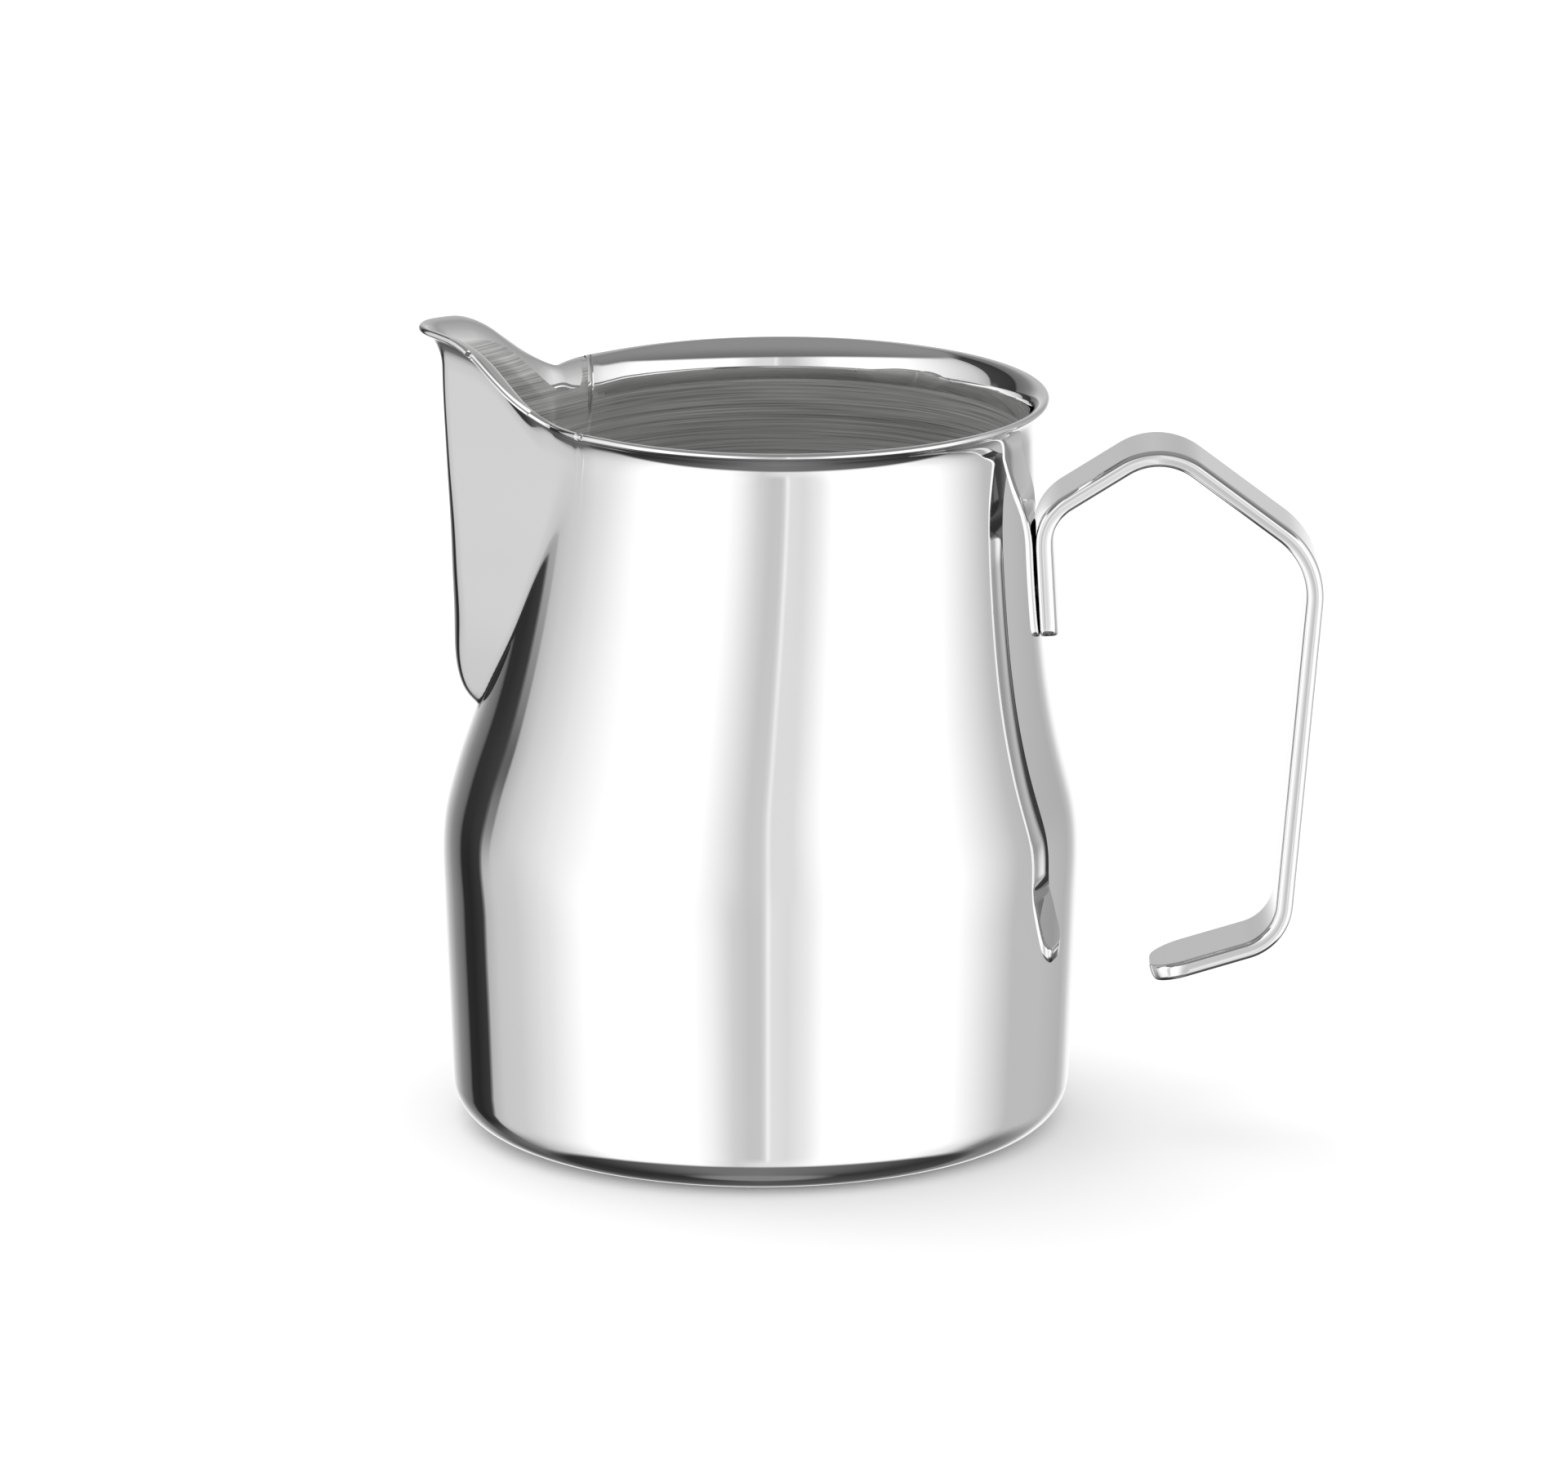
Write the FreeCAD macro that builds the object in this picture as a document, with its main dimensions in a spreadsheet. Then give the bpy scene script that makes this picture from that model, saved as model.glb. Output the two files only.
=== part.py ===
# Milk frothing pitcher: a polished sheet steel jug with a welded-in pouring spout and an open
# strap handle that is spot welded to the neck. Millimetres, +Z up, origin on the table under the
# middle of the base, spout towards -X, handle towards +X.
import FreeCAD, Part
import math
import os

import Sketcher

Vector = FreeCAD.Vector
Rotation = FreeCAD.Rotation
Placement = FreeCAD.Placement

doc = FreeCAD.newDocument("frothing_pitcher")

# ---------------------------------------------------------------- driving dimensions
# Heights named drop are measured down from the rim, radii and reaches named inset are measured
# in from the belly, and the strap's distances named out are measured from the side of the neck.
SIZES = {
    # overall size, sheet and base
    "rim_height": 104.6,
    "belly_radius": 45.3,
    "sheet_gauge": 1.0,
    "base_corner": 6.0,
    # outside of the drawn jug; foot and belly are the sharp corners that get rounded
    "foot_inset": 1.7,
    "belly_drop": 61.7, "belly_round": 43.0,
    "shoulder_drop": 52.6, "shoulder_inset": 2.5,
    # neck circles: their centres lean towards the handle on the way up
    "waist_drop": 38.6, "waist_inset": 6.05, "waist_shift": 1.05,
    "neck_drop": 22.6, "neck_inset": 8.45, "neck_shift": 2.2,
    "collar_drop": 5.1, "collar_inset": 9.9, "mouth_shift": 3.0,
    # flared rim
    "rim_inset": 7.8, "flare_bend": 5.5,
    # spout: nose of each cross section, then its depth and half width inside the neck
    "toe_drop": 48.1, "toe_inset": 9.8, "toe_nose": 1.5, "toe_depth": 3.0, "toe_width": 4.0,
    "keel_drop": 44.0, "keel_inset": 5.1, "keel_nose": 2.4, "keel_depth": 5.0, "keel_width": 8.5,
    "bow_drop": 40.1, "bow_inset": 2.4, "bow_nose": 3.6, "bow_depth": 8.4, "bow_width": 14.4,
    "stem_drop": 32.6, "stem_inset": 1.95, "stem_nose": 5.2, "stem_depth": 13.0, "stem_width": 18.8,
    "cheek_drop": 19.6, "cheek_inset": 1.6, "cheek_nose": 7.2, "cheek_depth": 17.7,
    "cheek_width": 21.5,
    "beak_drop": -2.9, "beak_inset": 0.6, "beak_nose": 8.8, "beak_depth": 23.4, "beak_width": 24.0,
    "beak_tilt": 22.0,
    "tip_drop": -12.0, "tip_inset": -2.7, "tip_nose": 9.4, "tip_depth": 28.2, "tip_width": 26.0,
    "tip_tilt": 28.0,
    # upper edge of the spout, an arc seen from the side
    "lip_arc": 35.0, "lip_inset": -10.2, "lip_drop": 23.7,
    # weld seam between jug and spout, an arc seen from the side
    "seam_arc": 76.0, "seam_inset": 20.5, "seam_width": 0.8,
    # handle strap: rounded bar, ends and the corners of its centre line
    "strap_width": 13.0, "strap_gauge": 2.4, "strap_edge": 0.8,
    "root_corner": 1.6, "tongue_corner": 5.0,
    "root_out": 2.0, "root_drop": 33.8,
    "bend_out": 1.0, "bend_drop": 16.3, "bend_radius": 6.0,
    "crown_out": 17.35, "crown_drop": 6.0, "crown_radius": 9.0,
    "grip_out": 39.5, "grip_drop": 22.65, "grip_radius": 11.5,
    "heel_out": 34.75, "heel_drop": 78.05, "heel_radius": 7.3,
    "tongue_out": 16.35, "tongue_drop": 83.6,
    # spot weld that joins strap and neck
    "weld_drop": 27.8, "weld_out": 0.4, "weld_radius": 2.5, "weld_bite": 0.5,
    # room that the two openings need above the edges they are cut through, and the length and
    # height of the tools that trim the sheet
    "rim_room": 0.6, "mouth_room": 1.5, "tool_length": 200.0, "tool_height": 60.0,
}

sheet = doc.addObject("Spreadsheet::Sheet", "Dimensions")
for row, (name, value) in enumerate(SIZES.items(), start=1):
    sheet.set("A%d" % row, name)
    sheet.set("B%d" % row, str(value))
    sheet.setAlias("B%d" % row, name)
doc.recompute()


def size(name):
    """Value of one named dimension."""
    return float(sheet.get(name))


def cell(name):
    """How an expression refers to one named dimension."""
    return "Dimensions." + name


def level(station):
    """Height of a station above the table."""
    return size("rim_height") - size(station + "_drop")


def level_cell(station):
    return cell("rim_height") + " - " + cell(station + "_drop")


def reach(station):
    """Distance of a station from the axis of the base."""
    return size("belly_radius") - size(station + "_inset")


def reach_cell(station):
    return "(" + cell("belly_radius") + " - " + cell(station + "_inset") + ")"


def side(station):
    """Distance of a corner of the strap's centre line from the axis of the base."""
    return reach("neck") + size("neck_shift") + size(station + "_out")


def side_cell(station):
    return reach_cell("neck") + " + " + cell("neck_shift") + " + " + cell(station + "_out")


# ---------------------------------------------------------------- small modelling helpers
def new_body(name, label=None):
    body = doc.addObject("PartDesign::Body", name)
    body.Label = label or name
    return body


def new_sketch(body, name, plane, shift="0", height="0", tilt=None):
    """Sketch on an origin plane of its body, moved by expressions."""
    sketch = body.newObject("Sketcher::SketchObject", name)
    home = [f for f in body.Origin.OriginFeatures if f.Role == plane][0]
    sketch.AttachmentSupport = [(home, "")]
    sketch.MapMode = "FlatFace"
    if tilt:
        sketch.AttachmentOffset = Placement(Vector(), Rotation(Vector(0, 1, 0), 1))
        sketch.setExpression("AttachmentOffset.Rotation.Angle", tilt)
    sketch.setExpression("AttachmentOffset.Base.x", shift)
    sketch.setExpression("AttachmentOffset.Base.z", height)
    return sketch


def bind(sketch, name, expression, *constraint):
    """Add one dimension constraint and tie it to the sheet."""
    index = sketch.addConstraint(Sketcher.Constraint(*constraint))
    sketch.renameConstraint(index, name)
    sketch.setExpression("Constraints." + name, expression)


def fix(sketch, *constraint):
    sketch.addConstraint(Sketcher.Constraint(*constraint))


def loft(body, kind, name, sections):
    feature = body.newObject("PartDesign::" + kind, name)
    feature.Profile = sections[0]
    feature.Sections = sections[1:]
    feature.Ruled = False
    feature.Closed = False
    return feature


# ---------------------------------------------------------------- drawn jug, outside or inside
def tangent_arc(before, corner, after, radius):
    """Where an arc of a given radius in the corner of two lines begins, turns about and ends."""
    back = (before - corner).normalize()
    on = (after - corner).normalize()
    half = back.getAngle(on) / 2
    middle = corner + (back + on).normalize() * (radius / math.sin(half))
    run = radius / math.tan(half)
    return corner + back * run, middle, corner + on * run


def add_arc(sketch, begin, middle, end, anticlockwise):
    """Add an arc and return its index, then which of its two ends is the first and the last."""
    first, last = (begin, end) if anticlockwise else (end, begin)
    angles = [math.atan2(p.y - middle.y, p.x - middle.x) for p in (first, last)]
    if angles[1] < angles[0]:
        angles[1] += 2 * math.pi
    circle = Part.Circle(middle, Vector(0, 0, 1), (begin - middle).Length)
    index = sketch.addGeometry(Part.ArcOfCircle(circle, angles[0], angles[1]), False)
    return (index, 1, 2) if anticlockwise else (index, 2, 1)


def jug_profile(body, inset):
    """Half section of base, side and shoulder, turned about the axis of the foot."""
    wall = size("sheet_gauge") if inset else 0.0
    less = " - " + cell("sheet_gauge") if inset else ""
    sketch = new_sketch(body, body.Name + "_profile", "XZ_Plane")
    foot = Vector(reach("foot") - wall, wall, 0)
    belly = Vector(size("belly_radius") - wall, level("belly"), 0)
    shoulder = Vector(reach("shoulder") - wall, level("shoulder"), 0)
    floor = Vector(0, wall, 0)
    top = Vector(0, shoulder.y, 0)
    corner = tangent_arc(floor, foot, belly, size("base_corner") - wall)
    bulge = tangent_arc(foot, belly, shoulder, size("belly_round"))
    sketch.addGeometry(Part.LineSegment(floor, corner[0]), False)
    add_arc(sketch, *corner, True)
    sketch.addGeometry(Part.LineSegment(corner[2], bulge[0]), False)
    add_arc(sketch, *bulge, True)
    sketch.addGeometry(Part.LineSegment(bulge[2], shoulder), False)
    sketch.addGeometry(Part.LineSegment(shoulder, top), False)
    sketch.addGeometry(Part.LineSegment(top, floor), False)
    sketch.addGeometry(Part.Point(foot), True)
    sketch.addGeometry(Part.Point(belly), True)
    for first, second in ((0, 1), (1, 2), (2, 3), (3, 4)):
        fix(sketch, "Tangent", first, 2, second, 1)
    for first, second in ((4, 5), (5, 6), (6, 0)):
        fix(sketch, "Coincident", first, 2, second, 1)
    fix(sketch, "Horizontal", 0)
    fix(sketch, "Horizontal", 5)
    fix(sketch, "PointOnObject", 0, 1, -2)
    fix(sketch, "PointOnObject", 5, 2, -2)
    for point, line in ((7, 0), (7, 2), (8, 2), (8, 4)):
        fix(sketch, "PointOnObject", point, 1, line)
    bind(sketch, "corner", cell("base_corner") + less, "Radius", 1, size("base_corner") - wall)
    bind(sketch, "round", cell("belly_round"), "Radius", 3, size("belly_round"))
    bind(sketch, "foot", reach_cell("foot") + less, "DistanceX", -1, 1, 7, 1, foot.x)
    bind(sketch, "belly", cell("belly_radius") + less, "DistanceX", -1, 1, 8, 1, belly.x)
    bind(sketch, "belly_height", level_cell("belly"), "DistanceY", -1, 1, 8, 1, belly.y)
    bind(sketch, "shoulder", reach_cell("shoulder") + less, "DistanceX", -1, 1, 4, 2, shoulder.x)
    bind(sketch, "shoulder_height", level_cell("shoulder"), "DistanceY", -1, 1, 4, 2, shoulder.y)
    if inset:
        bind(sketch, "floor", cell("sheet_gauge"), "DistanceY", -1, 1, 0, 1, wall)
    else:
        fix(sketch, "PointOnObject", 0, 1, -1)
    return sketch


def jug_circle(body, name, radius, shift, height):
    sketch = new_sketch(body, name, "XY_Plane", shift, height)
    sketch.addGeometry(Part.Circle(Vector(), Vector(0, 0, 1), 40), False)
    fix(sketch, "Coincident", 0, 3, -1, 1)
    bind(sketch, "radius", radius, "Radius", 0, 40)
    return sketch


def jug_form(body, kind, inset=False):
    """Round belly, then a neck whose centre leans towards the handle on the way up."""
    profile = jug_profile(body, inset)
    turned = body.newObject("PartDesign::Revolution", body.Name + "_belly")
    turned.Profile = profile
    turned.ReferenceAxis = (profile, ["V_Axis"])
    turned.Angle = 360
    less = " - " + cell("sheet_gauge") if inset else ""
    shifts = {"shoulder": "0", "waist": cell("waist_shift"), "neck": cell("neck_shift"),
              "collar": cell("mouth_shift")}
    circles = [
        jug_circle(body, body.Name + "_" + station, reach_cell(station) + less,
                   shift, level_cell(station))
        for station, shift in shifts.items()
    ]
    return loft(body, kind, body.Name + "_neck", circles)


def flare_profile(body, name, inset, room):
    """Half section of the flared rim: it leaves the collar upright and bends outwards."""
    sketch = new_sketch(body, name, "XZ_Plane", cell("mouth_shift"))
    start_r = reach("collar") - (size("sheet_gauge") if inset else 0)
    bend = size("flare_bend") + (size("sheet_gauge") if inset else 0)
    low = level("collar")
    middle = Vector(start_r + bend, low, 0)
    end_r = reach("rim")
    angle = math.acos((middle.x - end_r) / bend)
    end = Vector(end_r, low + bend * math.sin(angle), 0)
    high = size("rim_height") + size(room)
    corners = [Vector(0, low, 0), Vector(start_r, low, 0), end,
               Vector(end_r, high, 0), Vector(0, high, 0)]
    sketch.addGeometry(Part.LineSegment(corners[0], corners[1]), False)
    add_arc(sketch, corners[1], middle, end, False)
    sketch.addGeometry(Part.LineSegment(corners[2], corners[3]), False)
    sketch.addGeometry(Part.LineSegment(corners[3], corners[4]), False)
    sketch.addGeometry(Part.LineSegment(corners[4], corners[0]), False)
    fix(sketch, "Coincident", 0, 2, 1, 2)
    fix(sketch, "Coincident", 1, 1, 2, 1)
    fix(sketch, "Coincident", 2, 2, 3, 1)
    fix(sketch, "Coincident", 3, 2, 4, 1)
    fix(sketch, "Coincident", 4, 2, 0, 1)
    fix(sketch, "Horizontal", 0)
    fix(sketch, "Vertical", 2)
    fix(sketch, "Horizontal", 3)
    fix(sketch, "PointOnObject", 0, 1, -2)
    fix(sketch, "PointOnObject", 4, 1, -2)
    fix(sketch, "Horizontal", 1, 2, 1, 3)
    wall = " - " + cell("sheet_gauge") if inset else ""
    more = " + " + cell("sheet_gauge") if inset else ""
    bind(sketch, "collar_height", level_cell("collar"), "DistanceY", -1, 1, 0, 1, low)
    bind(sketch, "collar_radius", reach_cell("collar") + wall, "DistanceX", 0, 1, 0, 2, start_r)
    bind(sketch, "bend", cell("flare_bend") + more, "Radius", 1, bend)
    bind(sketch, "reach", reach_cell("rim"), "DistanceX", 3, 2, 3, 1, end_r)
    bind(sketch, "top", cell("rim_height") + " + " + cell(room), "DistanceY", -1, 1, 4, 1, high)
    return sketch


def flare(body, kind, inset, room):
    profile = flare_profile(body, body.Name + "_flare_profile", inset, room)
    feature = body.newObject("PartDesign::" + kind, body.Name + "_flare")
    feature.Profile = profile
    feature.ReferenceAxis = (profile, ["V_Axis"])
    feature.Angle = 360
    return feature


# ---------------------------------------------------------------- spout, outside or inside
RINGS = ("toe", "keel", "bow", "stem", "cheek", "beak", "tip")


def spout_ring(body, ring, inset):
    """Teardrop section: a round nose with two flat flanks opening into the neck."""
    wall = size("sheet_gauge") if inset else 0.0
    less = " - " + cell("sheet_gauge") if inset else ""
    tilt = cell(ring + "_tilt") if ring in ("beak", "tip") else None
    # the spout's floor is as thick as its sides
    rise = " + " + cell("sheet_gauge") if inset and ring in ("toe", "keel", "bow") else ""
    sketch = new_sketch(body, body.Name + "_" + ring, "XY_Plane",
                        "-" + reach_cell(ring) + (" + " + cell("sheet_gauge") if inset else ""),
                        level_cell(ring) + rise, tilt)
    nose = size(ring + "_nose") - wall
    depth = size(ring + "_depth") - wall
    width = size(ring + "_width") - 1.4 * wall
    # where a line from the rear corner touches the nose circle
    run = depth - nose
    gap = math.hypot(run, width)
    lean = math.atan2(width, run)
    half = lean + math.acos(nose / gap)
    touch = Vector(nose + nose * math.cos(half), nose * math.sin(half), 0)
    below = Vector(touch.x, -touch.y, 0)
    middle = Vector(nose, 0, 0)
    add_arc(sketch, touch, middle, below, True)
    sketch.addGeometry(Part.LineSegment(below, Vector(depth, -width, 0)), False)
    sketch.addGeometry(Part.LineSegment(Vector(depth, -width, 0), Vector(depth, width, 0)), False)
    sketch.addGeometry(Part.LineSegment(Vector(depth, width, 0), touch), False)
    fix(sketch, "Tangent", 0, 2, 1, 1)
    fix(sketch, "Coincident", 1, 2, 2, 1)
    fix(sketch, "Coincident", 2, 2, 3, 1)
    fix(sketch, "Tangent", 3, 2, 0, 1)
    fix(sketch, "PointOnObject", 0, 3, -1)
    fix(sketch, "Symmetric", 2, 1, 2, 2, -1)
    bind(sketch, "nose", cell(ring + "_nose") + less, "Radius", 0, nose)
    bind(sketch, "centre", cell(ring + "_nose") + less, "DistanceX", -1, 1, 0, 3, nose)
    bind(sketch, "depth", cell(ring + "_depth") + less, "DistanceX", -1, 1, 2, 1, depth)
    less_side = " - 1.4 * " + cell("sheet_gauge") if inset else ""
    bind(sketch, "width", "2 * (" + cell(ring + "_width") + less_side + ")",
         "DistanceY", 2, 1, 2, 2, 2 * width)
    return sketch


def spout_form(body, kind, inset=False):
    return loft(body, kind, body.Name + "_spout", [spout_ring(body, ring, inset) for ring in RINGS])


# ---------------------------------------------------------------- drawn sheet, trimmed and parted
outside = new_body("outside")
jug_form(outside, "AdditiveLoft")
flare(outside, "Revolution", False, "rim_room")
spout_form(outside, "AdditiveLoft")

inside = new_body("inside")
jug_form(inside, "AdditiveLoft", True)
flare(inside, "Revolution", True, "mouth_room")
spout_form(inside, "AdditiveLoft", True)


def boolean(kind, name, base, tool):
    feature = doc.addObject("Part::" + kind, name)
    feature.Base = base
    feature.Tool = tool
    feature.Label = name
    return feature


def crosswise_cylinder(name, radius, reach_expression, height_expression):
    """Long cylinder lying across the jug, its axis along Y."""
    cylinder = doc.addObject("Part::Cylinder", name)
    cylinder.Placement = Placement(Vector(), Rotation(Vector(1, 0, 0), 90))
    cylinder.setExpression("Height", cell("tool_length"))
    cylinder.setExpression("Placement.Base.y", cell("tool_length") + " / 2")
    cylinder.setExpression("Radius", radius)
    cylinder.setExpression("Placement.Base.x", reach_expression)
    cylinder.setExpression("Placement.Base.z", height_expression)
    return cylinder


skin = boolean("Cut", "skin", outside, inside)

# everything above the rim goes, except what lies under the arc of the spout's lip
above = doc.addObject("Part::Box", "above_rim")
above.setExpression("Length", cell("tool_length"))
above.setExpression("Width", cell("tool_length"))
above.setExpression("Height", cell("tool_height"))
above.setExpression("Placement.Base.x", "-" + cell("tool_length") + " / 2")
above.setExpression("Placement.Base.y", "-" + cell("tool_length") + " / 2")
above.setExpression("Placement.Base.z", cell("rim_height"))
lip = crosswise_cylinder("under_lip", cell("lip_arc"), "-" + reach_cell("lip"), level_cell("lip"))
waste = boolean("Cut", "waste", above, lip)
trimmed = boolean("Cut", "trimmed_skin", skin, waste)

# the weld seam is a band between two cylinders that cross the sheet
seam_x = "-(" + reach_cell("seam") + " + " + cell("seam_arc") + ")"
seam_inner = crosswise_cylinder(
    "seam_inner", cell("seam_arc") + " - " + cell("seam_width") + " / 2", seam_x, cell("rim_height"))
seam_outer = crosswise_cylinder(
    "seam_outer", cell("seam_arc") + " + " + cell("seam_width") + " / 2", seam_x, cell("rim_height"))
seam_band = boolean("Cut", "seam_band", seam_outer, seam_inner)

pouring_spout = boolean("Common", "pouring_spout", trimmed, seam_inner)
spout_seam_weld = boolean("Common", "spout_seam_weld", trimmed, seam_band)
drawn_jug = boolean("Cut", "drawn_jug", trimmed, seam_outer)

# ---------------------------------------------------------------- handle strap
CORNERS = ("bend", "crown", "grip", "heel")


def sharp_edges(shape, across=None):
    """Edges where two faces meet at a steep angle; across picks those of one length only."""
    found = []
    for index, edge in enumerate(shape.Edges, start=1):
        faces = shape.ancestorsOfType(edge, Part.Face)
        if len(faces) != 2:
            continue
        middle = edge.valueAt((edge.FirstParameter + edge.LastParameter) / 2)
        normals = []
        for face in faces:
            u, v = face.Surface.parameter(middle)
            normals.append(face.normalAt(u, v))
        if normals[0].getAngle(normals[1]) < math.radians(50):
            continue
        short = abs(edge.Length - (across or 0)) < 0.1
        if across is None or short:
            found.append((index, middle, short))
    return found


strap = new_body("strap_bar")
path = new_sketch(strap, "strap_path", "XZ_Plane")
corner_names = ("root",) + CORNERS + ("tongue",)
points = [Vector(side(name), level(name), 0) for name in corner_names]
arcs = [tangent_arc(points[i], points[i + 1], points[i + 2], size(name + "_radius"))
        for i, name in enumerate(CORNERS)]
starts = [points[0]] + [arc[2] for arc in arcs]
ends = [arc[0] for arc in arcs] + [points[-1]]
for i, start in enumerate(starts):
    path.addGeometry(Part.LineSegment(start, ends[i]), False)
    if i < len(arcs):
        add_arc(path, *arcs[i], False)
for i, name in enumerate(CORNERS):
    line, arc = 2 * i, 2 * i + 1
    fix(path, "Tangent", line, 2, arc, 2)
    fix(path, "Tangent", arc, 1, line + 2, 1)
    bind(path, name + "_radius", cell(name + "_radius"), "Radius", arc, size(name + "_radius"))
    point = path.addGeometry(Part.Point(points[i + 1]), True)
    fix(path, "PointOnObject", point, 1, line)
    fix(path, "PointOnObject", point, 1, line + 2)
    bind(path, name + "_x", side_cell(name), "DistanceX", -1, 1, point, 1, points[i + 1].x)
    bind(path, name + "_z", level_cell(name), "DistanceY", -1, 1, point, 1, points[i + 1].y)
last = 2 * len(CORNERS)
for name, line, end in (("root", 0, 1), ("tongue", last, 2)):
    bind(path, name + "_x", side_cell(name), "DistanceX", -1, 1, line, end, side(name))
    bind(path, name + "_z", level_cell(name), "DistanceY", -1, 1, line, end, level(name))

section = new_sketch(strap, "strap_section", "XY_Plane", side_cell("root"), level_cell("root"))
half = Vector(size("strap_gauge") / 2, size("strap_width") / 2, 0)
square = [Vector(-half.x, -half.y, 0), Vector(half.x, -half.y, 0), half, Vector(-half.x, half.y, 0)]
for i in range(4):
    section.addGeometry(Part.LineSegment(square[i], square[(i + 1) % 4]), False)
for i in range(4):
    fix(section, "Coincident", i, 2, (i + 1) % 4, 1)
    fix(section, "Vertical" if i % 2 else "Horizontal", i)
fix(section, "Symmetric", 0, 1, 1, 2, -1, 1)
bind(section, "gauge", cell("strap_gauge"), "DistanceX", 0, 1, 0, 2, 2 * half.x)
bind(section, "width", cell("strap_width"), "DistanceY", 1, 1, 1, 2, 2 * half.y)

bar = strap.newObject("PartDesign::AdditivePipe", "strap_bend")
bar.Profile = section
bar.Spine = path
doc.recompute()


def round_edges(body, name, radius, chosen):
    """Fillet some edges of a body's last feature, its radius tied to the sheet."""
    base = body.Tip
    fillet = body.newObject("PartDesign::Fillet", name)
    fillet.Base = (base, ["Edge%d" % index for index in chosen])
    fillet.setExpression("Radius", cell(radius))
    doc.recompute()
    return fillet


gauge = size("strap_gauge")
middle_height = (level("root") + level("tongue")) / 2
corners = [(i, p) for i, p, short in sharp_edges(strap.Shape, gauge) if short]
round_edges(strap, "root_corners", "root_corner", [i for i, p in corners if p.z > middle_height])
corners = [(i, p) for i, p, short in sharp_edges(strap.Shape, gauge) if short]
round_edges(strap, "tongue_corners", "tongue_corner", [i for i, p in corners if p.z < middle_height])
round_edges(strap, "strap_edges", "strap_edge", [i for i, p, short in sharp_edges(strap.Shape)])

# ---------------------------------------------------------------- spot weld
spot_weld = doc.addObject("Part::Cylinder", "handle_spot_weld")
spot_weld.Label = "handle_spot_weld"
spot_weld.Placement = Placement(Vector(), Rotation(Vector(0, 1, 0), 90))
spot_weld.setExpression("Radius", cell("weld_radius"))
spot_weld.setExpression("Height", "2 * " + cell("weld_bite"))
spot_weld.setExpression("Placement.Base.x", side_cell("weld") + " - " + cell("weld_bite"))
spot_weld.setExpression("Placement.Base.z", level_cell("weld"))

vessel_body = boolean("Cut", "vessel_body", drawn_jug, spot_weld)
handle_strap = boolean("Cut", "handle_strap", strap, spot_weld)

# ---------------------------------------------------------------- checks and export
doc.recompute()
for item in doc.Objects:
    if "Invalid" in item.State or "Error" in item.State:
        raise RuntimeError("%s did not compute: %s" % (item.Name, item.State))

pieces = (vessel_body, pouring_spout, spout_seam_weld, handle_strap, spot_weld)
for piece in pieces:
    if piece.Shape.isNull() or not piece.Shape.isValid() or len(piece.Shape.Solids) != 1:
        raise RuntimeError("%s is not one sound solid" % piece.Label)

os.makedirs("parts", exist_ok=True)
for piece in pieces:
    piece.Shape.exportStep("parts/%s.step" % piece.Label)
    print("%-18s %9.1f mm3" % (piece.Label, piece.Shape.Volume))
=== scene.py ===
import math

import bmesh
import bpy
import numpy as np
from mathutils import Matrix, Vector


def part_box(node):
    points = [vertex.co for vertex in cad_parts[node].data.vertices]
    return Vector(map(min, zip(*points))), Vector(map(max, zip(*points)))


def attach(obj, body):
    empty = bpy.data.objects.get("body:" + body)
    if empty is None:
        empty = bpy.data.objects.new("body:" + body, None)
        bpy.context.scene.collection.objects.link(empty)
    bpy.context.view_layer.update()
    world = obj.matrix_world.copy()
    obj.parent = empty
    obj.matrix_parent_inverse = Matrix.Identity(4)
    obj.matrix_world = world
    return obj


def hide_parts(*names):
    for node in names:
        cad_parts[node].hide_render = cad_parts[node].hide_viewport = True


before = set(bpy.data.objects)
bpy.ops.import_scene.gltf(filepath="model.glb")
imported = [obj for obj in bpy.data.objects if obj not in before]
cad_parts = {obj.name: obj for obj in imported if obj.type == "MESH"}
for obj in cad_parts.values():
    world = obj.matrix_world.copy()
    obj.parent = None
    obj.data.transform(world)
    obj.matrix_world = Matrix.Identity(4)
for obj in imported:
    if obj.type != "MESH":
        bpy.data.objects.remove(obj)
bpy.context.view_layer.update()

MM = 0.001

# ------------------------------------------------------------------ shape of the jug, in millimetres
GAUGE = 1.0
FOOT_CORNER = 6.0
FOOT_TOP = 8.0
DISH_RISE = 0.6
# where the dish ends, as a share of the foot's corner radius in from the wall
DISH_EDGE = 0.96
# height, outside radius, and how far the circle's middle leans to the handle
WALL_STATIONS = [
    (0.0, 43.60, 0.0), (8.0, 43.92, 0.0), (18.0, 44.31, 0.0), (27.0, 44.67, 0.0), (34.0, 44.93, 0.0),
    (40.0, 45.05, 0.0), (45.0, 44.55, 0.0), (49.0, 43.60, 0.02), (53.0, 42.50, 0.10),
    (60.0, 40.57, 0.59), (66.0, 39.25, 1.05), (74.0, 37.90, 1.65), (84.0, 36.64, 2.32),
    (92.0, 35.92, 2.74), (99.5, 35.40, 3.0), (108.0, 35.0, 3.1), (118.0, 34.8, 3.1),
]
# height, reach of the nose line, distance of the flat flanks, softness of the crease at the neck
SPOUT_STATIONS = [
    (54.0, 29.0, 23.5, 0.4), (57.0, 35.2, 28.0, 0.4), (59.0, 38.4, 30.3, 0.4), (60.5, 40.5, 31.3, 0.4),
    (62.0, 41.8, 31.9, 0.5), (63.5, 42.45, 32.2, 0.5), (66.0, 43.0, 32.6, 0.6), (72.0, 43.25, 33.2, 0.5),
    (80.0, 43.5, 33.22, 0.5), (85.0, 43.65, 33.2, 0.5), (92.0, 44.0, 33.15, 0.6), (98.0, 44.3, 33.15, 0.8),
    (106.0, 44.65, 33.35, 0.9), (116.0, 44.75, 33.6, 0.9),
]
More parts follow.
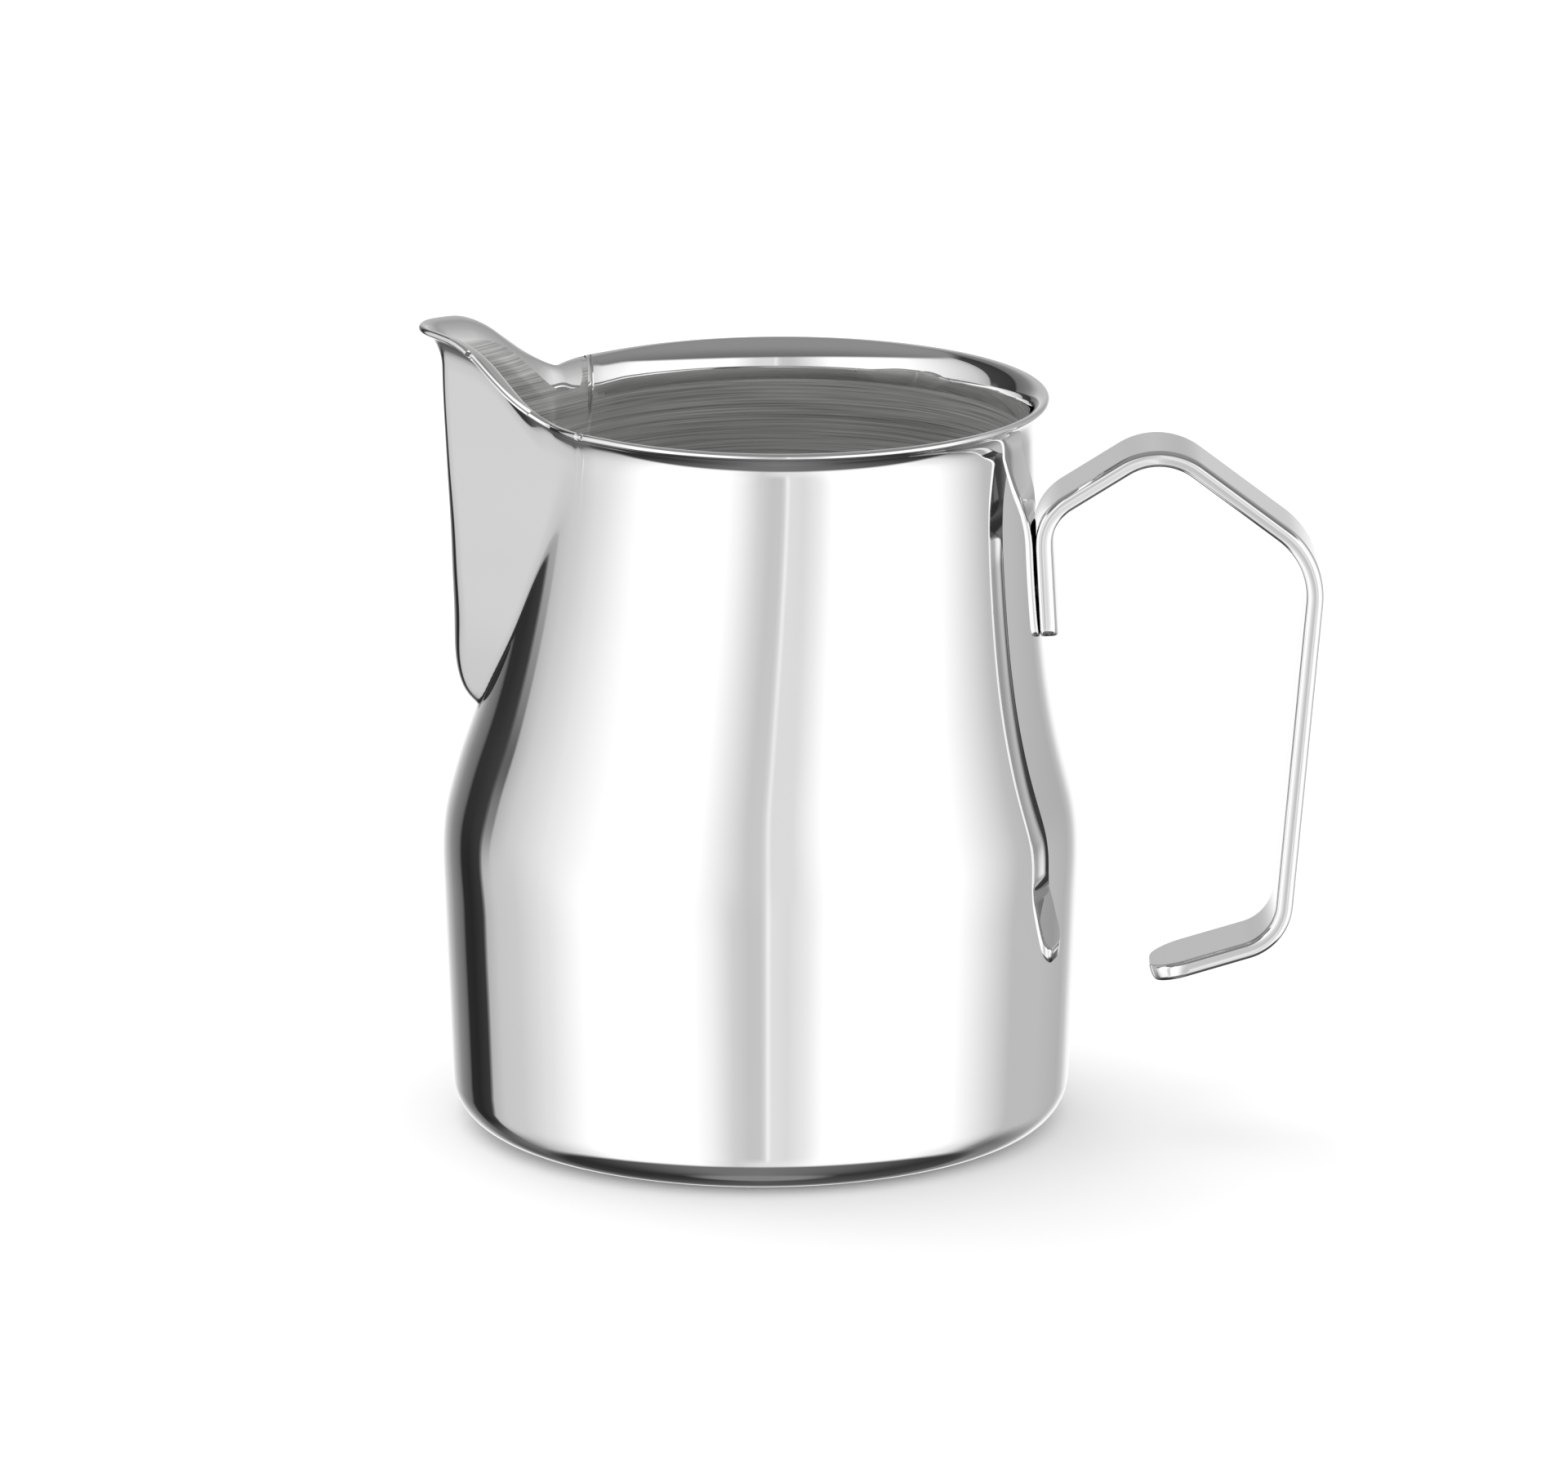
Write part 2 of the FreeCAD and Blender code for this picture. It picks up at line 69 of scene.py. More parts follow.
# turn away from the nose in degrees, then height of the outer edge of lip or rim, and how tall and
# how wide its roll is
LIP_STATIONS = [
    (0.0, 113.85, 5.3, 2.75), (6.0, 113.75, 5.4, 2.95), (12.6, 113.05, 5.6, 3.2), (18.5, 110.05, 5.7, 3.3),
    (22.0, 108.05, 5.5, 3.0), (25.7, 106.05, 5.2, 2.4), (28.0, 104.75, 4.6, 1.3), (29.8, 103.85, 4.3, 0.35),
    (33.0, 103.7, 4.3, 0.8), (37.0, 103.7, 4.3, 1.45), (41.0, 103.7, 4.3, 1.95), (44.0, 103.7, 4.3, 2.05),
    (180.0, 103.7, 4.3, 2.05),
]
FLANK = math.radians(43)
# cosine of the angle at which the quarter-ellipse roll stops; 0 would end it level
ROLL_TIGHT = 0.16
COLLAR_FROM = 99.0
POLISHED_LIP_ROWS = 14
SEAM_ARC = 76.0
SEAM_MIDDLE = (-100.8, 104.6)
SEAM_WIDTH = 0.8
SEAM_FOOT = 54.0
SEAM_LINE_FROM = 97.0
SEAM_PROUD = 0.05
# how near a sheet edge counts as reaching the rim
AT_EDGE = 0.02


def smooth_through(stations, column):
    """Natural cubic curve through one column of a table of stations."""
    knots = np.array([row[0] for row in stations], float)
    values = np.array([row[column] for row in stations], float)
    gaps = np.diff(knots)
    slopes = np.diff(values) / gaps
    system = np.eye(len(knots))
    target = np.zeros(len(knots))
    for k in range(1, len(knots) - 1):
        system[k, k - 1:k + 2] = gaps[k - 1], 2 * (gaps[k - 1] + gaps[k]), gaps[k]
        target[k] = 6 * (slopes[k] - slopes[k - 1])
    bend = np.linalg.solve(system, target)

    def curve(place):
        place = np.clip(place, knots[0], knots[-1])
        k = np.clip(np.searchsorted(knots, place) - 1, 0, len(gaps) - 1)
        before, after = place - knots[k], knots[k + 1] - place
        return (
            (bend[k] * after**3 + bend[k + 1] * before**3) / (6 * gaps[k])
            + (values[k] / gaps[k] - bend[k] * gaps[k] / 6) * after
            + (values[k + 1] / gaps[k] - bend[k + 1] * gaps[k] / 6) * before
        )

    return curve


wall_radius, wall_lean = (smooth_through(WALL_STATIONS, k) for k in (1, 2))
nose_reach, flank_reach, crease_soft = (smooth_through(SPOUT_STATIONS, k) for k in (1, 2, 3))


def eased_between(stations, column, ease=3.0):
    """Straight runs from station to station, with their corners eased."""
    knots, values = np.array([row[0] for row in stations]), np.array([row[column] for row in stations])

    def curve(place):
        shifts = [ease * share for share in (-1, -.5, 0, .5, 1)]
        return sum(np.interp(np.abs(place + shift), knots, values) for shift in shifts) / len(shifts)

    return curve


lip_height, roll_rise, roll_width = (eased_between(LIP_STATIONS, k) for k in (1, 2, 3))


def lip_edge(turn):
    """Height of the outer edge of rim and lip; turn is the angle from the nose."""
    return lip_height(np.degrees(np.abs(turn)))


def rolled_out(turn, height):
    """How far rim or lip has rolled outward at this height: a bend that tightens to its edge."""
    aside = np.degrees(np.abs(turn))
    rise, width = roll_rise(aside), roll_width(aside)
    risen = np.clip((height - lip_edge(turn)) / rise + 1, 0, 1.003) * math.sqrt(1 - ROLL_TIGHT**2)
    return width * (1 - np.sqrt(1 - risen**2)) / (1 - ROLL_TIGHT)


def wall(turn, height):
    """Outside of the sheet: turn is the angle from the nose, towards +Y, seen from the base's axis."""
    rolled = rolled_out(turn, height)
    radius, lean = wall_radius(height) + rolled, wall_lean(height)
    neck = np.sqrt(radius**2 - (lean * np.sin(turn)) ** 2) - lean * np.cos(turn)
    aside = np.abs(turn)
    tip, face = nose_reach(height), flank_reach(height)
    nose = (face - tip * math.cos(FLANK)) / (1 - math.cos(FLANK))
    middle, nose, face = tip - nose, nose + rolled, face + rolled
    straight = face / np.cos(FLANK - aside)
    straight = np.where(aside > FLANK, face * np.cos(np.clip(aside - FLANK, 0, 1.5)), straight)
    touch = np.arctan2(nose * math.sin(FLANK), middle + nose * math.cos(FLANK))
    within = np.clip(nose**2 - (middle * np.sin(aside)) ** 2, 0, None)
    rounded = middle * np.cos(aside) + np.sqrt(within)
    spout = np.where(aside < touch, rounded, straight)
    soft = crease_soft(height)
    near = np.clip(soft - np.abs(neck - spout), 0, None) / soft
    reach = np.maximum(neck, spout) + near**3 * soft / 6
    return np.stack([-reach * np.cos(turn), reach * np.sin(turn), height + 0 * reach], -1)


def unit(vectors):
    return vectors / np.linalg.norm(vectors, axis=-1, keepdims=True)


def wall_outward(turn, height):
    """Direction that faces out of the sheet."""
    step = 0.004
    along = wall(turn + step / 8, height) - wall(turn - step / 8, height)
    up = wall(turn, height + step) - wall(turn, height - step)
    return unit(np.cross(up, along))


def seam_height(turn, offset):
    """Height at which the seam crosses each turn, moved by offset towards the jug."""
    low, high = np.full(turn.shape, SEAM_FOOT), lip_edge(turn)
    for _ in range(40):
        middle = (low + high) / 2
        place = wall(turn, middle)
        away = np.hypot(place[..., 0] - SEAM_MIDDLE[0], middle - SEAM_MIDDLE[1]) - SEAM_ARC - offset
        low, high = np.where(away > 0, middle, low), np.where(away > 0, high, middle)
    return high


def ramp(low, high, finish, coarse, fine):
    """Heights from low to high for each turn, closer together in the last part."""
    last = high - np.minimum(finish, 0.5 * (high - low))
    first = low + (last - low) * np.linspace(0, 1, coarse)[:, None]
    closing = np.sin(np.linspace(0, math.pi / 2, fine + 1))[1:, None]
    return np.concatenate([first, last + (high - last) * closing])


# ------------------------------------------------------------------ mesh making
def new_piece(name, points, faces, materials, kinds, node=None):
    """Mesh object in metres from points in millimetres, smooth but for its hard edges."""
    mesh = bpy.data.meshes.new(name)
    mesh.from_pydata([tuple(p) for p in np.asarray(points) * MM], [], faces)
    for material in materials:
        mesh.materials.append(material)
    mesh.polygons.foreach_set("material_index", kinds)
    shell = bmesh.new()
    shell.from_mesh(mesh)
    bmesh.ops.remove_doubles(shell, verts=shell.verts, dist=1e-7)
    bmesh.ops.dissolve_degenerate(shell, edges=shell.edges, dist=1e-7)
    bmesh.ops.recalc_face_normals(shell, faces=shell.faces)
    shell.to_mesh(mesh)
    shell.free()
    mesh.shade_smooth()
    mesh.set_sharp_from_angle(angle=math.radians(50))
    piece = bpy.data.objects.new(name, mesh)
    bpy.context.scene.collection.objects.link(piece)
    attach(piece, "root")
    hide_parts(node)
    return piece


def grid_faces(rows, columns, start=0, closed=True):
    """Quads of a grid of points numbered row by row."""
    faces = []
    for row in range(rows - 1):
        for column in range(columns if closed else columns - 1):
            after = (column + 1) % columns
            low, high = start + row * columns, start + (row + 1) * columns
            faces.append((low + column, low + after, high + after, high + column))
    return faces


def sheet_rows(turn, heights, roundness):
    """Rows of points up the outside of the sheet, over its edge and down its inside."""
    outside = wall(turn[None, :], heights)
    outward = wall_outward(turn[None, :], heights)
    inside = outside - GAUGE * outward
    edge = np.gradient(outside[-1], axis=0)
    beyond = unit(np.cross(edge, outward[-1]))
    beyond *= np.sign(beyond[:, 2:3])
    middle = (outside[-1] + inside[-1]) / 2
    over = [
        middle
        + GAUGE / 2 * (math.cos(a) * outward[-1] + math.sin(a) * roundness[:, None] * beyond)
        for a in np.linspace(0, math.pi, 9)[1:-1]
    ]
    return outside, np.array(over), inside[::-1]


# angles of the columns: close together round the spout
SPOUT_HALF = math.radians(47)
SPOUT_COLUMNS = 173
FAR_COLUMNS = 123
spout_turns = np.linspace(-SPOUT_HALF, SPOUT_HALF, SPOUT_COLUMNS)
spread = np.linspace(0, 1, FAR_COLUMNS + 2)[1:-1]
far_turns = SPOUT_HALF + spread * (2 * math.pi - 2 * SPOUT_HALF)
around = np.concatenate([spout_turns, far_turns])
around_signed = (around + math.pi) % (2 * math.pi) - math.pi


def revolve(radius, height, turn):
    """Ring of points about the axis of the base."""
    return np.stack([-radius * np.cos(turn), radius * np.sin(turn), np.full(turn.shape, height)], -1)


def dish(radius, reach):
    """Rise of the slightly dished base at this radius."""
    return DISH_RISE * (1 - (radius / reach) ** 4)


def make_jug(polished, brushed):
    """Drawn jug: base, wall, neck and rolled rim, open towards the spout."""
    turn = around_signed
    top = np.minimum(seam_height(turn, SEAM_WIDTH / 2), lip_edge(turn))
    heights = ramp(np.full(turn.shape, FOOT_TOP), top, finish=6.5, coarse=96, fine=26)
    roundness = (lip_edge(turn) - top < AT_EDGE).astype(float)
    outside, over, inside = sheet_rows(turn, heights, roundness)
    foot_reach = WALL_STATIONS[0][1] - FOOT_CORNER * DISH_EDGE
    profile = [(r, dish(r, foot_reach)) for r in np.linspace(0.0, foot_reach, 12)]
    slant = math.atan2(WALL_STATIONS[1][1] - WALL_STATIONS[0][1], FOOT_TOP)
    corner = (float(wall_radius(FOOT_CORNER)) - FOOT_CORNER * math.cos(slant), FOOT_CORNER)
    for a in np.linspace(-math.pi / 2, -slant, 13)[1:]:
        profile.append((corner[0] + FOOT_CORNER * math.cos(a), corner[1] + FOOT_CORNER * math.sin(a)))
    outer_foot = [revolve(r, z, turn) for r, z in profile]
    bend = FOOT_CORNER - GAUGE
    inner = [(corner[0] + bend * math.cos(a), corner[1] + bend * math.sin(a))
             for a in np.linspace(-slant, -math.pi / 2, 11)]
    inner += [(r, GAUGE + dish(r, foot_reach)) for r in np.linspace(foot_reach, 0.0, 12)]
    inner_foot = [revolve(r, z, turn) for r, z in inner]
    rows = np.concatenate([outer_foot, outside, over, inside, inner_foot])
    faces = grid_faces(len(rows), len(turn))
    shown_inside = len(outer_foot) + len(outside) + len(over)
    collar = [COLLAR_FROM < p[2] for p in rows.reshape(-1, 3)]
    kinds = [1 if f[0] >= shown_inside * len(turn) and not collar[f[3]] else 0 for f in faces]
    return new_piece("jug_wall", rows.reshape(-1, 3), faces, [polished, brushed], kinds,
                     "vessel_body")


def seam_span(offset):
    """Turns on which sheet stands above the seam, or above one edge of it."""
    open_above = lip_edge(spout_turns) - seam_height(spout_turns, offset) > 0.05
    return spout_turns[open_above]


def make_spout(polished, brushed):
    """Pressed spout with its rolled lip, from the seam upwards."""
    turn = seam_span(-SEAM_WIDTH / 2)
    low = seam_height(turn, -SEAM_WIDTH / 2)
    heights = ramp(low, lip_edge(turn), finish=8.0, coarse=70, fine=26)
    outside, over, inside = sheet_rows(turn, heights, np.ones(turn.shape))
    rows = np.concatenate([outside, over, inside])
    count = len(turn)
    faces = grid_faces(len(rows), count, closed=False)
    skin = len(faces)
    last = (len(rows) - 1) * count
    faces += [(k + 1, k, last + k, last + k + 1) for k in range(count - 1)]
    for side in (0, count - 1):
        for row in range(len(outside) - 1):
            back = len(rows) - 1 - row
            faces.append((row * count + side, (row + 1) * count + side,
                          (back - 1) * count + side, back * count + side))
        rest = range(len(outside) - 1, len(outside) + len(over) + 1)
        faces.append(tuple(row * count + side for row in rest))
    flat = rows.reshape(-1, 3)
    kinds = []
    for number, face in enumerate(faces):
        row = face[0] // count
        inner = number < skin and row >= len(outside) + len(over) + POLISHED_LIP_ROWS
        kinds.append(1 if inner else 0)
    return new_piece("spout_sheet", flat, faces, [polished, brushed], kinds,
                     "pouring_spout")


def make_seam(polished, weld, brushed):
    """Weld between jug and spout, ground flush outside, with its thin line left inside."""
    turn = seam_span(SEAM_WIDTH / 2)
    low = seam_height(turn, SEAM_WIDTH / 2)
    high = np.maximum(np.minimum(seam_height(turn, -SEAM_WIDTH / 2), lip_edge(turn)), low + 1e-3)
    heights = low + (high - low) * np.array([0, .12, .3, .5, .7, .88, 1])[:, None]
    roundness = (lip_edge(turn) - high < AT_EDGE).astype(float)
    outside, over, inside = sheet_rows(turn, heights, roundness)
    inside[2:5] += SEAM_PROUD * wall_outward(turn[None, :], heights[::-1][2:5])
    rows = np.concatenate([outside, over, inside])
    count = len(turn)
    faces = grid_faces(len(rows), count, closed=False)
    within = len(outside) + len(over)
    high_up = rows.reshape(-1, 3)[:, 2] > SEAM_LINE_FROM
    kinds = []
    for face in faces:
        row = face[0] // count
        if row < within:
            kinds.append(0)
        elif not high_up[face[0]]:
            kinds.append(2)
        else:
            kinds.append(1 if within + 2 <= row < within + 4 else 0)
    last = (len(rows) - 1) * count
    faces += [(k + 1, k, last + k, last + k + 1) for k in range(count - 1)]
    for side in (0, count - 1):
        faces.append(tuple(row * count + side for row in range(len(rows))))
    kinds += [0] * (len(faces) - len(kinds))
    return new_piece("seam_line", rows.reshape(-1, 3), faces, [polished, weld, brushed], kinds,
                     "spout_seam_weld")


# ------------------------------------------------------------------ handle strap
STRAP_WIDTH = 13.0
STRAP_GAUGE = 2.4
STRAP_EDGE = 0.8
# corners of the strap's middle line: distance from the axis, height, bend radius
STRAP_CORNERS = [
    (41.05, 70.8, 0.0), (40.05, 88.3, 6.0), (56.4, 98.6, 9.0),
    (78.55, 81.95, 11.5), (73.8, 26.55, 7.3), (55.4, 21.0, 0.0),
]
ROOT_CORNER = 1.6
TONGUE_CORNER = 5.0
ROOT_EDGE = 0.3
NECK_ROUND = 38.5
# how far up from its end the root is curved to the neck, and where the curve begins to fade
ROOT_HUG = 19.0
HUG_FADE = 6.0
DIMPLE_RADIUS = 1.15
DIMPLE_DEPTH = 0.28
nugget_low, nugget_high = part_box("handle_spot_weld")
NUGGET_HEIGHT = round((nugget_low.z + nugget_high.z) / 2 / MM, 3)


def strap_line(step=0.7):
    """Points and directions along the strap's middle line, straight runs joined by bends."""
    corners = [np.array(c[:2]) for c in STRAP_CORNERS]
    places, ways = [], []
    here = corners[0]
    for k in range(1, len(corners)):
        into = unit(corners[k] - corners[k - 1])
        if k == len(corners) - 1:
            stop = corners[k]
        else:
            out = unit(corners[k + 1] - corners[k])
            turned = math.atan2(into[0] * out[1] - into[1] * out[0], float(into @ out))
            radius = STRAP_CORNERS[k][2]
            back = radius * math.tan(abs(turned) / 2)
            stop = corners[k] - into * back
        length = float(np.linalg.norm(stop - here))
        count = max(2, int(length / step))
        for t in np.linspace(0, 1, count, endpoint=False):
            places.append(here + (stop - here) * t)
            ways.append(into)
        if k == len(corners) - 1:
            places.append(stop)
            ways.append(into)
            break
        left = np.array([-into[1], into[0]]) * math.copysign(radius, turned)
        hub = stop + left
        count = max(4, int(abs(turned) * radius / (step * 0.6)))
        for t in np.linspace(0, 1, count, endpoint=False):
            a = turned * t
            turn = np.array([[math.cos(a), -math.sin(a)], [math.sin(a), math.cos(a)]])
            places.append(hub - turn @ left)
            ways.append(turn @ into)
        turn = np.array([[math.cos(turned), -math.sin(turned)], [math.sin(turned), math.cos(turned)]])
        here = hub - turn @ left
    return np.array(places), np.array(ways)


def corner_cut(gone, radius):
    """How much a rounded corner takes off the half width, at this distance from the end."""
    short = np.clip(radius - gone, 0, radius)
    return radius - np.sqrt(radius**2 - short**2)


def bar_section(half_width, half_gauge, edge, crowns=18, bends=7):
    """Outline of the bar's section, once round, as (across, through)."""
    flat = np.linspace(1, -1, crowns)
    points = [(w * (half_width - edge), half_gauge) for w in flat]
    for centre, first in (((-1, 1), 90), ((-1, -1), 180)):
        for a in np.radians(np.linspace(first, first + 90, bends))[1:]:
            points.append((centre[0] * (half_width - edge) + edge * math.cos(a),
                           centre[1] * (half_gauge - edge) + edge * math.sin(a)))
    points += [(w * (half_width - edge), -half_gauge) for w in -flat[1:]]
    for centre, first in (((1, -1), 270), ((1, 1), 0)):
        for a in np.radians(np.linspace(first, first + 90, bends))[1:]:
            points.append((centre[0] * (half_width - edge) + edge * math.cos(a),
                           centre[1] * (half_gauge - edge) + edge * math.sin(a)))
    return points[:-1]


def make_strap(material):
    """Bent strap handle: bar with rounded edges, rounded ends and the spot weld's dimple."""
    places, ways = strap_line()
    gone = np.concatenate([[0], np.cumsum(np.linalg.norm(np.diff(places, axis=0), axis=1))])
    total = gone[-1]
    ends = np.array([0, .02, .08, .18, .32, .5, .72, 1.0, 1.4, 1.9, 2.5, 3.2, 4.0, 4.9])
    dimple_at = NUGGET_HEIGHT - STRAP_CORNERS[0][1]
    fine = np.arange(dimple_at - 1.6, dimple_at + 1.61, 0.16)
    middle = gone[(gone > 5.2) & (gone < total - 5.2)]
    middle = middle[np.abs(middle - dimple_at) > 1.7]
    stops = np.unique(np.concatenate([ends, middle, fine, total - ends]))
    rows = []
    for s in stops:
        place = np.array([np.interp(s, gone, places[:, k]) for k in (0, 1)])
        way = unit(np.array([np.interp(s, gone, ways[:, k]) for k in (0, 1)]))
        through = np.array([-way[1], way[0]])
        half = STRAP_WIDTH / 2 - corner_cut(s, ROOT_CORNER) - corner_cut(total - s, TONGUE_CORNER)
        thin = corner_cut(s, ROOT_EDGE) + corner_cut(total - s, STRAP_EDGE * 0.9)
        gauge = STRAP_GAUGE / 2 - thin
        row = []
        for across, deep in bar_section(half, gauge, min(STRAP_EDGE, gauge * 0.95), crowns=26):
            if deep < 0:
                away = math.hypot(s - dimple_at, across) / DIMPLE_RADIUS
                deep += DIMPLE_DEPTH * max(0.0, 1 - away**2) ** 1.5
            spot = place + through * deep
            hug = NECK_ROUND - math.sqrt(NECK_ROUND**2 - across**2)
            hug *= float(np.clip((ROOT_HUG - s) / HUG_FADE, 0, 1))
            row.append((spot[0] - hug, across, spot[1]))
        rows.append(row)
    rows = np.array(rows)
    count = rows.shape[1]
    faces = grid_faces(len(rows), count)
    faces.append(tuple(range(count)))
    faces.append(tuple((len(rows) - 1) * count + k for k in range(count)))
    return new_piece("strap_bar", rows.reshape(-1, 3), faces, [material], [0] * len(faces),
                     "handle_strap")


# ------------------------------------------------------------------ finishes
def group_of_nodes(name, takes, gives):
    """Empty shader node group with named inputs and outputs."""
    group = bpy.data.node_groups.new(name, "ShaderNodeTree")
    for title, kind, value in takes:
        socket = group.interface.new_socket(title, in_out="INPUT", socket_type=kind)
        socket.default_value = value
    for title, kind in gives:
        group.interface.new_socket(title, in_out="OUTPUT", socket_type=kind)
    return group, group.nodes.new("NodeGroupInput"), group.nodes.new("NodeGroupOutput")


def stretched_noise(tree, scale, detail):
    """Noise laid out along the object's own axes, its grain stretched by the scale vector."""
    add, join = tree.nodes.new, tree.links.new
    where = add("ShaderNodeTexCoord")
    spread = add("ShaderNodeVectorMath")
    spread.operation = "MULTIPLY"
    join(where.outputs["Object"], spread.inputs[0])
    if isinstance(scale, bpy.types.NodeSocket):
        join(scale, spread.inputs[1])
    else:
        spread.inputs[1].default_value = scale
    noise = add("ShaderNodeTexNoise")
    join(spread.outputs[0], noise.inputs["Vector"])
    noise.inputs["Scale"].default_value = 1.0
    noise.inputs["Detail"].default_value = detail
    return noise.outputs["Fac"]


def between(tree, share, low, high, from_low=0.3, from_high=0.7):
    """Spread a mask between two values."""
    node = tree.nodes.new("ShaderNodeMapRange")
    tree.links.new(share, node.inputs["Value"])
    node.inputs["From Min"].default_value = from_low
    node.inputs["From Max"].default_value = from_high
    for value, socket in ((low, node.inputs["To Min"]), (high, node.inputs["To Max"])):
        if isinstance(value, bpy.types.NodeSocket):
            tree.links.new(value, socket)
        else:
            socket.default_value = value
    return node.outputs["Result"]


def calculate(tree, operation, first, second):
    """Output of a maths node; either value may be a number or a socket."""
    node = tree.nodes.new("ShaderNodeMath")
    node.operation = operation
    for value, socket in ((first, node.inputs[0]), (second, node.inputs[1])):
        if isinstance(value, bpy.types.NodeSocket):
            tree.links.new(value, socket)
        else:
            socket.default_value = value
    return node.outputs[0]


def blend_colours(tree, share, first, second):
    """Colour between two others, by a mask."""
    node = tree.nodes.new("ShaderNodeMix")
    node.data_type = "RGBA"
    tree.links.new(share, node.inputs["Factor"])
    # inputs 6 and 7 of the node are its two colours
    for value, socket in ((first, node.inputs[6]), (second, node.inputs[7])):
        if isinstance(value, bpy.types.NodeSocket):
            tree.links.new(value, socket)
        else:
            socket.default_value = value
    return node.outputs[2]


def polish_haze_group():
    """Cloudy haze left by the buffing wheel, with its hairlines."""
    takes = [("Steel", "NodeSocketColor", (.95, .95, .95, 1)), ("Clear Roughness", "NodeSocketFloat", .02),
             ("Hazy Roughness", "NodeSocketFloat", .06),
             ("Hairline Spread", "NodeSocketVector", (90, 90, 2600))]
    gives = [("Color", "NodeSocketColor"), ("Roughness", "NodeSocketFloat"), ("Height", "NodeSocketFloat")]
    group, inside, out = group_of_nodes("polish_haze", takes, gives)
    clouds = stretched_noise(group, (38, 38, 52), 3)
    hairs = stretched_noise(group, inside.outputs["Hairline Spread"], 4)
    both = calculate(group, "MULTIPLY", between(group, clouds, 0.35, 1.0), between(group, hairs, 0.4, 1.0))
    clear, hazy = inside.outputs["Clear Roughness"], inside.outputs["Hazy Roughness"]
    rough = between(group, both, clear, hazy, 0.1, 0.9)
    clouded = between(group, clouds, 0.0, 0.08)
    dull = blend_colours(group, clouded, inside.outputs["Steel"], (.80, .81, .82, 1))
    group.links.new(dull, out.inputs["Color"])
    group.links.new(rough, out.inputs["Roughness"])
    group.links.new(hairs, out.inputs["Height"])
    return group


def brushed_grain_group():
    """Long fine grooves with broader lighter and darker streaks among them."""
    takes = [("Groove Spread", "NodeSocketVector", (35, 35, 3200)),
             ("Streak Spread", "NodeSocketVector", (9, 9, 620)),
             ("Light", "NodeSocketColor", (.95, .95, .94, 1)), ("Dark", "NodeSocketColor", (.7, .7, .7, 1))]
    gives = [("Color", "NodeSocketColor"), ("Roughness", "NodeSocketFloat"), ("Height", "NodeSocketFloat")]
    group, inside, out = group_of_nodes("brushed_grain", takes, gives)
    grooves = stretched_noise(group, inside.outputs["Groove Spread"], 5)
    streaks = stretched_noise(group, inside.outputs["Streak Spread"], 3)
    both = calculate(group, "ADD", grooves, streaks)
    mixed = calculate(group, "MULTIPLY", both, 0.5)
    share = between(group, mixed, 0.0, 1.0, 0.32, 0.66)
    colour = blend_colours(group, share, inside.outputs["Dark"], inside.outputs["Light"])
    group.links.new(colour, out.inputs["Color"])
    group.links.new(between(group, mixed, 0.46, 0.32), out.inputs["Roughness"])
    group.links.new(mixed, out.inputs["Height"])
    return group


def heat_tint_group():
    """Straw and blue tints with small ripples, as beside a weld."""
    takes = [("Bare", "NodeSocketColor", (.55, .55, .55, 1)), ("Ripple Scale", "NodeSocketFloat", 2600.0)]
    gives = [("Color", "NodeSocketColor"), ("Height", "NodeSocketFloat")]
    group, inside, out = group_of_nodes("heat_tint", takes, gives)
    patches = stretched_noise(group, (420, 420, 420), 2)
    tinted = between(group, patches, 0.0, 0.5)
    straw = blend_colours(group, tinted, inside.outputs["Bare"], (.50, .44, .35, 1))
    blue = blend_colours(group, between(group, patches, 0.0, 0.35, 0.55, 0.75), straw, (.34, .37, .44, 1))
    joined = group.nodes.new("ShaderNodeCombineXYZ")
    for socket in joined.inputs:
        group.links.new(inside.outputs["Ripple Scale"], socket)
    group.links.new(blue, out.inputs["Color"])
    group.links.new(stretched_noise(group, joined.outputs[0], 2), out.inputs["Height"])
    return group


def new_finish(name, group, values):
    """Metal material with one group placed in it; returns material, tree, shader and group node."""
    material = bpy.data.materials.new(name)
    material.use_nodes = True
    tree = material.node_tree
    shader = tree.nodes["Principled BSDF"]
    shader.inputs["Metallic"].default_value = 1.0
    placed = tree.nodes.new("ShaderNodeGroup")
    placed.node_tree = group
    for title, value in values.items():
        placed.inputs[title].default_value = value
    tree.links.new(placed.outputs["Color"], shader.inputs["Base Color"])
    if "Roughness" in placed.outputs:
        tree.links.new(placed.outputs["Roughness"], shader.inputs["Roughness"])
    return material, tree, shader, placed


def raise_grain(tree, shader, height, strength, depth):
    """Turn a height into the shader's normal; depth is in millimetres."""
    bump = tree.nodes.new("ShaderNodeBump")
    bump.inputs["Strength"].default_value = strength
    bump.inputs["Distance"].default_value = depth * MM
    tree.links.new(height, bump.inputs["Height"])
    tree.links.new(bump.outputs["Normal"], shader.inputs["Normal"])


polish_haze, brushed_grain, heat_tint = polish_haze_group(), brushed_grain_group(), heat_tint_group()

mirror, tree, shader, haze = new_finish("mirror_polished_steel", polish_haze, {
    "Steel": (.97, .97, .97, 1), "Clear Roughness": .008, "Hazy Roughness": .03,
    "Hairline Spread": (70, 70, 2400)})
raise_grain(tree, shader, haze.outputs["Height"], 0.004, 0.0003)

brushed, tree, shader, grain = new_finish("brushed_inside_steel", brushed_grain, {
    "Groove Spread": (70, 70, 6500), "Streak Spread": (22, 22, 3400),
    "Light": (.80, .80, .79, 1), "Dark": (.24, .24, .237, 1)})
shader.inputs["Anisotropic"].default_value = 0.75
shader.inputs["Metallic"].default_value = 0.55
raise_grain(tree, shader, grain.outputs["Height"], 0.35, 0.02)

